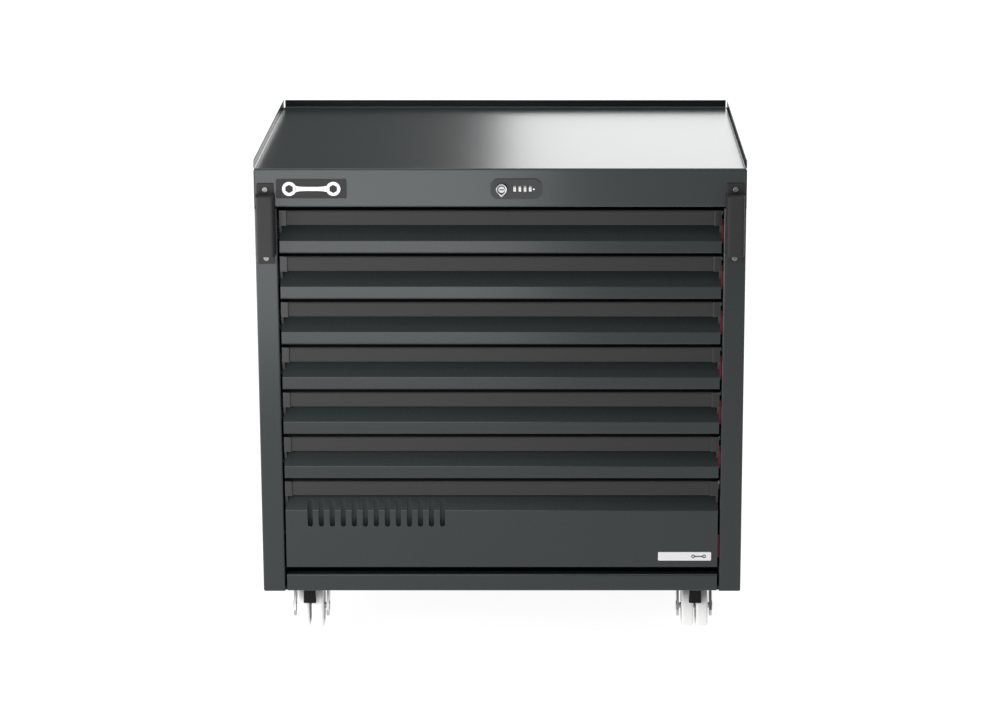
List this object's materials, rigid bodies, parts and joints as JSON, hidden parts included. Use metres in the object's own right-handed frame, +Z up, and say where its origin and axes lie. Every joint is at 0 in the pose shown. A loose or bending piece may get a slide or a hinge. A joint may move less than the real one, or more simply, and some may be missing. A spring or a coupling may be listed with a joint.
{
  "type": "rolling tool chest",
  "caption": "Low, wide steel tool chest on casters, with full-width drawers, a lipped worktop, corner bumpers and a code lock.",
  "frame": {"origin": "on the floor, under the middle of the chest's own box, bumpers included", "axes": "+X to the right seen from the front, +Y to the back, +Z up"},
  "size_m": [0.845, 0.64, 0.8668],
  "materials": {
    "body_paint": "semi-gloss anthracite powder coat",
    "drawer_paint": "semi-gloss anthracite powder coat",
    "worktop_paint": "high-gloss anthracite enamel",
    "tray_steel": "satin grey powder coat",
    "zinc_steel": "bright zinc plating",
    "zinc_screw": "bright zinc plating",
    "handle_strip": "satin dark anodised",
    "bumper_rubber": "matt charcoal rubber",
    "lock_plastic": "matt dark grey moulding",
    "chrome": "polished chrome",
    "code_plastic": "satin white moulding",
    "badge_plastic": "gloss black plate with a pale pictogram",
    "label_metal": "satin silver plate",
    "wheel_rubber": "pale grey polyurethane",
    "pedal_plastic": "matt black moulding"
  },
  "bodies": {
    "root": {"left_side_panel": "body_paint", "right_side_panel": "body_paint", "back_panel": "body_paint", "base_pan": "body_paint", "bottom_rail": "body_paint", "worktop": "worktop_paint", "slide_posts": "body_paint", "fixed_slides": "zinc_steel", "badge_plate": "badge_plastic", "lock_plate": "lock_plastic", "lock_barrel": "chrome", "corner_bumpers": "bumper_rubber", "bumper_screws": "zinc_screw", "rear_forks": "zinc_steel", "caster_plates": "zinc_steel", "caster_bolts": "zinc_screw"},
    "drawer_1": {"drawer_1_front": "drawer_paint", "drawer_1_box": "tray_steel", "drawer_1_handle": "handle_strip"},
    "drawer_1_middle": {"drawer_1_slide_middle": "zinc_steel"},
    "drawer_2": {"drawer_2_front": "drawer_paint", "drawer_2_box": "tray_steel", "drawer_2_handle": "handle_strip"},
    "drawer_2_middle": {"drawer_2_slide_middle": "zinc_steel"},
    "drawer_3": {"drawer_3_front": "drawer_paint", "drawer_3_box": "tray_steel", "drawer_3_handle": "handle_strip"},
    "drawer_3_middle": {"drawer_3_slide_middle": "zinc_steel"},
    "drawer_4": {"drawer_4_front": "drawer_paint", "drawer_4_box": "tray_steel", "drawer_4_handle": "handle_strip"},
    "drawer_4_middle": {"drawer_4_slide_middle": "zinc_steel"},
    "drawer_5": {"drawer_5_front": "drawer_paint", "drawer_5_box": "tray_steel", "drawer_5_handle": "handle_strip"},
    "drawer_5_middle": {"drawer_5_slide_middle": "zinc_steel"},
    "drawer_6": {"drawer_6_front": "drawer_paint", "drawer_6_box": "tray_steel", "drawer_6_handle": "handle_strip"},
    "drawer_6_middle": {"drawer_6_slide_middle": "zinc_steel"},
    "drawer_7": {"drawer_7_front": "drawer_paint", "drawer_7_box": "tray_steel", "drawer_7_handle": "handle_strip", "label_plate": "label_metal"},
    "drawer_7_middle": {"drawer_7_slide_middle": "zinc_steel"},
    "key": {"key_plug": "chrome"},
    "lock_rod": {"lock_rod": "zinc_steel"},
    "code_wheel_1": {"code_wheel_1": "code_plastic"},
    "code_wheel_2": {"code_wheel_2": "code_plastic"},
    "code_wheel_3": {"code_wheel_3": "code_plastic"},
    "code_wheel_4": {"code_wheel_4": "code_plastic"},
    "front_left_caster": {"front_left_fork": "zinc_steel"},
    "front_left_brake": {"front_left_pedal": "pedal_plastic"},
    "front_left_wheel": {"front_left_wheels": "wheel_rubber"},
    "rear_left_wheel": {"rear_left_wheels": "wheel_rubber"},
    "front_right_caster": {"front_right_fork": "zinc_steel"},
    "front_right_brake": {"front_right_pedal": "pedal_plastic"},
    "front_right_wheel": {"front_right_wheels": "wheel_rubber"},
    "rear_right_wheel": {"rear_right_wheels": "wheel_rubber"}
  },
  "joints": [
    {"name": "drawer_1_slide", "type": "slide", "parent": "root", "child": "drawer_1", "axis": [0, -1, 0], "range_m": [0, 0.52]},
    {"name": "drawer_1_middle_slide", "type": "slide", "parent": "root", "child": "drawer_1_middle", "axis": [0, -1, 0], "range_m": [0, 0.26]},
    {"name": "drawer_2_slide", "type": "slide", "parent": "root", "child": "drawer_2", "axis": [0, -1, 0], "range_m": [0, 0.52]},
    {"name": "drawer_2_middle_slide", "type": "slide", "parent": "root", "child": "drawer_2_middle", "axis": [0, -1, 0], "range_m": [0, 0.26]},
    {"name": "drawer_3_slide", "type": "slide", "parent": "root", "child": "drawer_3", "axis": [0, -1, 0], "range_m": [0, 0.52]},
    {"name": "drawer_3_middle_slide", "type": "slide", "parent": "root", "child": "drawer_3_middle", "axis": [0, -1, 0], "range_m": [0, 0.26]},
    {"name": "drawer_4_slide", "type": "slide", "parent": "root", "child": "drawer_4", "axis": [0, -1, 0], "range_m": [0, 0.52]},
    {"name": "drawer_4_middle_slide", "type": "slide", "parent": "root", "child": "drawer_4_middle", "axis": [0, -1, 0], "range_m": [0, 0.26]},
    {"name": "drawer_5_slide", "type": "slide", "parent": "root", "child": "drawer_5", "axis": [0, -1, 0], "range_m": [0, 0.52]},
    {"name": "drawer_5_middle_slide", "type": "slide", "parent": "root", "child": "drawer_5_middle", "axis": [0, -1, 0], "range_m": [0, 0.26]},
    {"name": "drawer_6_slide", "type": "slide", "parent": "root", "child": "drawer_6", "axis": [0, -1, 0], "range_m": [0, 0.52]},
    {"name": "drawer_6_middle_slide", "type": "slide", "parent": "root", "child": "drawer_6_middle", "axis": [0, -1, 0], "range_m": [0, 0.26]},
    {"name": "drawer_7_slide", "type": "slide", "parent": "root", "child": "drawer_7", "axis": [0, -1, 0], "range_m": [0, 0.52]},
    {"name": "drawer_7_middle_slide", "type": "slide", "parent": "root", "child": "drawer_7_middle", "axis": [0, -1, 0], "range_m": [0, 0.26]},
    {"name": "key_turn", "type": "hinge", "parent": "root", "child": "key", "pos_m": [0.0022, -0.298, 0.81765], "axis": [0, 1, 0], "range_deg": [0, 90]},
    {"name": "lock_rod_slide", "type": "slide", "parent": "root", "child": "lock_rod", "axis": [0, 0, -1], "range_m": [0, 0.012]},
    {"name": "code_wheel_1_turn", "type": "hinge", "parent": "root", "child": "code_wheel_1", "pos_m": [0.0246, -0.292, 0.81765], "axis": [1, 0, 0], "continuous": true},
    {"name": "code_wheel_2_turn", "type": "hinge", "parent": "root", "child": "code_wheel_2", "pos_m": [0.03345, -0.292, 0.81765], "axis": [1, 0, 0], "continuous": true},
    {"name": "code_wheel_3_turn", "type": "hinge", "parent": "root", "child": "code_wheel_3", "pos_m": [0.0423, -0.292, 0.81765], "axis": [1, 0, 0], "continuous": true},
    {"name": "code_wheel_4_turn", "type": "hinge", "parent": "root", "child": "code_wheel_4", "pos_m": [0.05115, -0.292, 0.81765], "axis": [1, 0, 0], "continuous": true},
    {"name": "front_left_swivel", "type": "hinge", "parent": "root", "child": "front_left_caster", "pos_m": [-0.3442, -0.185, 0.0807], "axis": [0, 0, 1], "continuous": true},
    {"name": "front_left_brake_press", "type": "hinge", "parent": "front_left_caster", "child": "front_left_brake", "pos_m": [-0.3442, -0.213, 0.08], "axis": [1, 0, 0], "range_deg": [0, 6]},
    {"name": "front_left_roll", "type": "hinge", "parent": "front_left_caster", "child": "front_left_wheel", "pos_m": [-0.3442, -0.215, 0.038], "axis": [1, 0, 0], "continuous": true},
    {"name": "rear_left_roll", "type": "hinge", "parent": "root", "child": "rear_left_wheel", "pos_m": [-0.3442, 0.235, 0.038], "axis": [1, 0, 0], "continuous": true},
    {"name": "front_right_swivel", "type": "hinge", "parent": "root", "child": "front_right_caster", "pos_m": [0.3442, -0.185, 0.0807], "axis": [0, 0, 1], "continuous": true},
    {"name": "front_right_brake_press", "type": "hinge", "parent": "front_right_caster", "child": "front_right_brake", "pos_m": [0.3442, -0.213, 0.08], "axis": [1, 0, 0], "range_deg": [0, 6]},
    {"name": "front_right_roll", "type": "hinge", "parent": "front_right_caster", "child": "front_right_wheel", "pos_m": [0.3442, -0.215, 0.038], "axis": [1, 0, 0], "continuous": true},
    {"name": "rear_right_roll", "type": "hinge", "parent": "root", "child": "rear_right_wheel", "pos_m": [0.3442, 0.235, 0.038], "axis": [1, 0, 0], "continuous": true}
  ],
  "couplings": [
    {"joint": "drawer_1_middle_slide", "follows": "drawer_1_slide", "ratio": 0.5},
    {"joint": "drawer_2_middle_slide", "follows": "drawer_2_slide", "ratio": 0.5},
    {"joint": "drawer_3_middle_slide", "follows": "drawer_3_slide", "ratio": 0.5},
    {"joint": "drawer_4_middle_slide", "follows": "drawer_4_slide", "ratio": 0.5},
    {"joint": "drawer_5_middle_slide", "follows": "drawer_5_slide", "ratio": 0.5},
    {"joint": "drawer_6_middle_slide", "follows": "drawer_6_slide", "ratio": 0.5},
    {"joint": "drawer_7_middle_slide", "follows": "drawer_7_slide", "ratio": 0.5},
    {"joint": "key_turn", "follows": "lock_rod_slide", "rad_per_m": 130.9}
  ]
}
